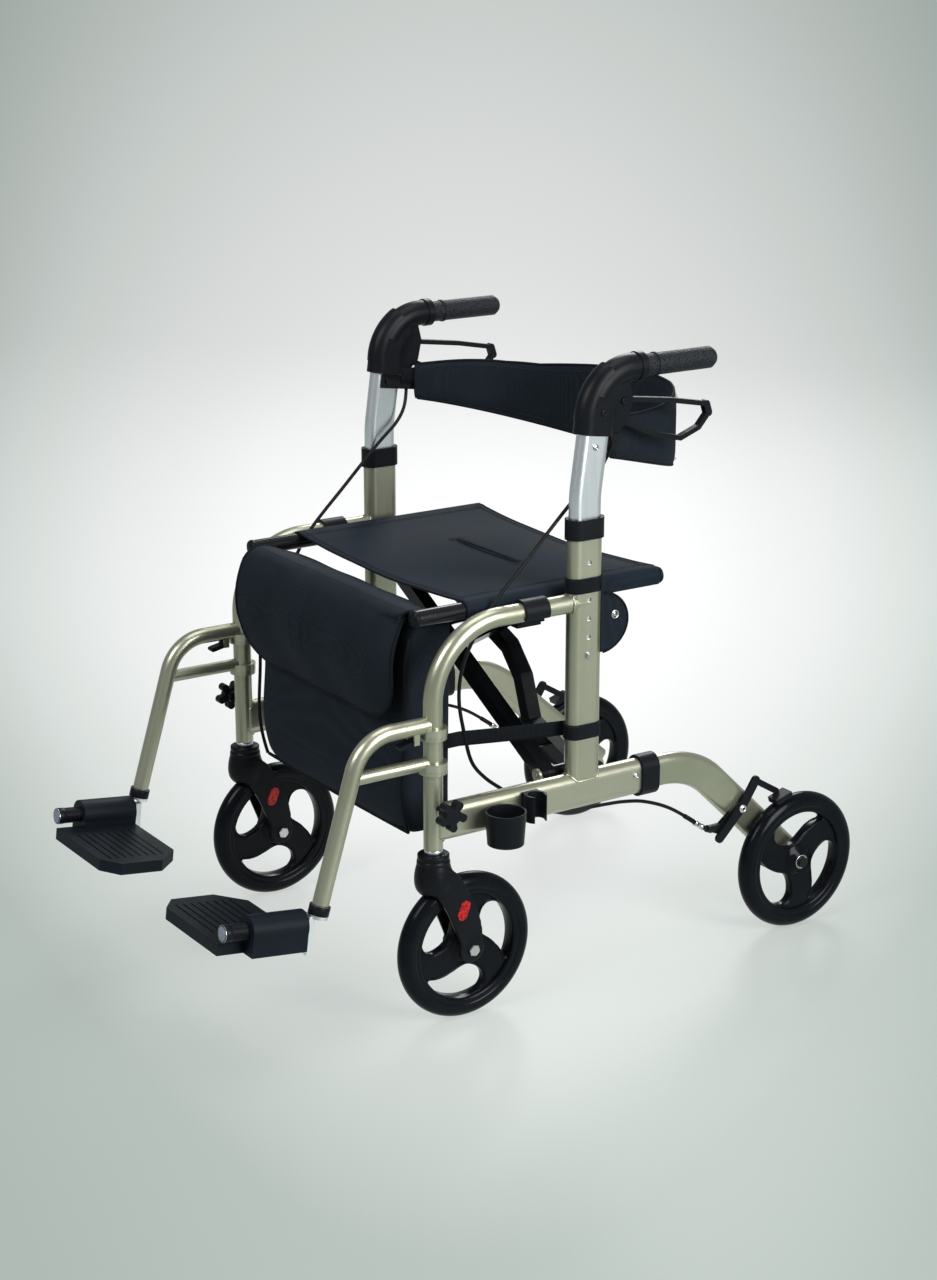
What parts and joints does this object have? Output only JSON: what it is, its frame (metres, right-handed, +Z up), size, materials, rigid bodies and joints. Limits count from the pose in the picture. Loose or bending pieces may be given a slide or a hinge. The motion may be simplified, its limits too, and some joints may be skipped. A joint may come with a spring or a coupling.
{
  "type": "rollator transport chair",
  "caption": "Folding rollator that turns into a transport chair, with a sling seat, a backrest band, swing-away footrests, hand brakes, casters and a bag under the seat.",
  "frame": {"origin": "on the floor under the middle of the part's box", "axes": "+X to the sitter's left, +Y to the back, +Z up"},
  "size_m": [0.6212, 1.0108, 0.8565],
  "materials": {
    "gold_paint": "satin",
    "silver": "brushed",
    "black_plastic": "matte",
    "grip_rubber": "matte",
    "black_metal": "satin",
    "wheel_black": "matte",
    "nylon": "woven",
    "red_reflector": "gloss",
    "steel": "brushed"
  },
  "bodies": {
    "left_frame": {"left_side_frame": "gold_paint", "left_rear_leg": "gold_paint", "left_collars": "black_plastic", "left_saddle": "black_plastic", "left_brake_bracket": "black_metal", "left_rear_axle": "steel", "left_bag_strap": "nylon", "left_brake_cable": "black_plastic", "cane_holder": "black_plastic", "cane_strap": "nylon", "bag": "nylon"},
    "left_handle": {"left_handle_tube": "silver", "left_elbow": "black_plastic", "left_grip": "grip_rubber", "left_backrest_bracket": "black_metal", "backrest": "nylon"},
    "left_lever": {"left_brake_lever": "black_plastic"},
    "left_arm": {"left_brake_arm": "black_metal"},
    "left_caster": {"left_caster_fork": "black_plastic", "left_reflector": "red_reflector", "left_front_axle": "steel"},
    "left_front_roller": {"left_front_wheel": "wheel_black"},
    "left_rear_roller": {"left_rear_wheel": "wheel_black"},
    "left_hanger": {"left_footrest_hanger": "gold_paint", "left_footrest_axle": "silver"},
    "left_latch": {"left_footrest_latch": "black_plastic"},
    "left_plate": {"left_footplate": "black_plastic"},
    "left_knob": {"left_star_knob": "black_plastic"},
    "left_pin": {"left_height_pin": "steel"},
    "right_frame": {"right_side_frame": "gold_paint", "right_rear_leg": "gold_paint", "right_collars": "black_plastic", "right_saddle": "black_plastic", "right_brake_bracket": "black_metal", "right_rear_axle": "steel", "right_bag_strap": "nylon", "right_brake_cable": "black_plastic"},
    "right_handle": {"right_handle_tube": "silver", "right_elbow": "black_plastic", "right_grip": "grip_rubber", "right_backrest_bracket": "black_metal"},
    "right_lever": {"right_brake_lever": "black_plastic"},
    "right_arm": {"right_brake_arm": "black_metal"},
    "right_caster": {"right_caster_fork": "black_plastic", "right_reflector": "red_reflector", "right_front_axle": "steel"},
    "right_front_roller": {"right_front_wheel": "wheel_black"},
    "right_rear_roller": {"right_rear_wheel": "wheel_black"},
    "right_hanger": {"right_footrest_hanger": "gold_paint", "right_footrest_axle": "silver"},
    "right_latch": {"right_footrest_latch": "black_plastic"},
    "right_plate": {"right_footplate": "black_plastic"},
    "right_knob": {"right_star_knob": "black_plastic"},
    "right_pin": {"right_height_pin": "steel"},
    "flap": {"bag_flap": "nylon"},
    "brace_a": {"cross_brace_a": "black_metal", "cross_pivot": "steel", "seat_sling": "nylon"},
    "brace_b": {"cross_brace_b": "black_metal"}
  },
  "joints": [
    {"name": "fold", "type": "hinge", "parent": "left_frame", "child": "brace_a", "pos_m": [0.2181, 0.00537, 0.3], "axis": [0, 1, 0], "range_deg": [0, 35], "deforming": ["seat_sling", "bag", "bag_flap", "backrest"]},
    {"name": "scissor", "type": "hinge", "parent": "brace_a", "child": "brace_b", "pos_m": [-0.0099, 0.00537, 0.42436], "axis": [0, 1, 0], "range_deg": [-70, 0]},
    {"name": "right_fold", "type": "hinge", "parent": "brace_b", "child": "right_frame", "pos_m": [-0.2379, 0.00537, 0.3], "axis": [0, 1, 0], "range_deg": [0, 35]},
    {"name": "flap_lift", "type": "hinge", "parent": "left_frame", "child": "flap", "pos_m": [-0.0099, -0.13163, 0.526], "axis": [-1, 0, 0], "range_deg": [0, 70]},
    {"name": "left_handle_height", "type": "slide", "parent": "left_frame", "child": "left_handle", "axis": [0, 0, 1], "range_m": [0, 0.125], "deforming": ["left_brake_cable"]},
    {"name": "left_lever_squeeze", "type": "hinge", "parent": "left_handle", "child": "left_lever", "pos_m": [0.2421, 0.08737, 0.796], "axis": [1, 0, 0], "range_deg": [0, 14]},
    {"name": "left_brake_press", "type": "hinge", "parent": "left_frame", "child": "left_arm", "pos_m": [0.2431, 0.30837, 0.195], "axis": [1, 0, 0], "range_deg": [-1.75, 0]},
    {"name": "left_caster_swivel", "type": "hinge", "parent": "left_frame", "child": "left_caster", "pos_m": [0.2421, -0.19763, 0.23], "axis": [0, 0, 1], "continuous": true},
    {"name": "left_front_spin", "type": "hinge", "parent": "left_caster", "child": "left_front_roller", "pos_m": [0.2421, -0.15163, 0.1], "axis": [1, 0, 0], "continuous": true},
    {"name": "left_rear_spin", "type": "hinge", "parent": "left_frame", "child": "left_rear_roller", "pos_m": [0.2541, 0.40537, 0.1], "axis": [1, 0, 0], "continuous": true},
    {"name": "left_hanger_swing", "type": "hinge", "parent": "left_frame", "child": "left_hanger", "pos_m": [0.2421, -0.19763, 0.38], "axis": [0, 0, 1], "range_deg": [0, 90]},
    {"name": "left_latch_press", "type": "hinge", "parent": "left_hanger", "child": "left_latch", "pos_m": [0.2421, -0.22663, 0.395], "axis": [1, 0, 0], "range_deg": [0, 12], "stiffness_Nm_per_rad": 0.2, "springref_deg": -17.19},
    {"name": "left_plate_flip", "type": "hinge", "parent": "left_hanger", "child": "left_plate", "pos_m": [0.2321, -0.42715, 0.18488], "axis": [0, 0.9925, -0.1219], "range_deg": [0, 90.01]},
    {"name": "left_knob_turn", "type": "hinge", "parent": "left_frame", "child": "left_knob", "pos_m": [0.2751, -0.19763, 0.302], "axis": [1, 0, 0], "continuous": true},
    {"name": "left_pin_pull", "type": "slide", "parent": "left_frame", "child": "left_pin", "axis": [1, 0, 0], "range_m": [0, 0.006], "stiffness_N_per_m": 200, "springref_m": -0.002},
    {"name": "right_handle_height", "type": "slide", "parent": "right_frame", "child": "right_handle", "axis": [0, 0, 1], "range_m": [0, 0.125], "deforming": ["right_brake_cable"]},
    {"name": "right_lever_squeeze", "type": "hinge", "parent": "right_handle", "child": "right_lever", "pos_m": [-0.2619, 0.08737, 0.796], "axis": [1, 0, 0], "range_deg": [0, 14]},
    {"name": "right_brake_press", "type": "hinge", "parent": "right_frame", "child": "right_arm", "pos_m": [-0.2629, 0.30837, 0.195], "axis": [1, 0, 0], "range_deg": [-1.75, 0]},
    {"name": "right_caster_swivel", "type": "hinge", "parent": "right_frame", "child": "right_caster", "pos_m": [-0.2619, -0.19763, 0.23], "axis": [0, 0, 1], "continuous": true},
    {"name": "right_front_spin", "type": "hinge", "parent": "right_caster", "child": "right_front_roller", "pos_m": [-0.2619, -0.15163, 0.1], "axis": [1, 0, 0], "continuous": true},
    {"name": "right_rear_spin", "type": "hinge", "parent": "right_frame", "child": "right_rear_roller", "pos_m": [-0.2739, 0.40537, 0.1], "axis": [1, 0, 0], "continuous": true},
    {"name": "right_hanger_swing", "type": "hinge", "parent": "right_frame", "child": "right_hanger", "pos_m": [-0.2619, -0.19763, 0.38], "axis": [0, 0, -1], "range_deg": [0, 90]},
    {"name": "right_latch_press", "type": "hinge", "parent": "right_hanger", "child": "right_latch", "pos_m": [-0.2619, -0.22663, 0.395], "axis": [1, 0, 0], "range_deg": [0, 12], "stiffness_Nm_per_rad": 0.2, "springref_deg": -17.19},
    {"name": "right_plate_flip", "type": "hinge", "parent": "right_hanger", "child": "right_plate", "pos_m": [-0.2519, -0.42715, 0.18488], "axis": [0, -0.9925, 0.1219], "range_deg": [0, 90.01]},
    {"name": "right_knob_turn", "type": "hinge", "parent": "right_frame", "child": "right_knob", "pos_m": [-0.2949, -0.19763, 0.302], "axis": [1, 0, 0], "continuous": true},
    {"name": "right_pin_pull", "type": "slide", "parent": "right_frame", "child": "right_pin", "axis": [-1, 0, 0], "range_m": [0, 0.006], "stiffness_N_per_m": 200, "springref_m": -0.002}
  ],
  "couplings": [
    {"joint": "scissor", "follows": "fold", "ratio": -2},
    {"joint": "right_fold", "follows": "fold", "ratio": 1},
    {"joint": "left_brake_press", "follows": "left_lever_squeeze", "ratio": -0.125},
    {"joint": "left_plate_flip", "follows": "fold", "ratio": 2.5714},
    {"joint": "right_brake_press", "follows": "right_lever_squeeze", "ratio": -0.125},
    {"joint": "right_plate_flip", "follows": "fold", "ratio": 2.5714},
    {"joint": "right_handle_height", "follows": "left_handle_height", "ratio": 1}
  ]
}
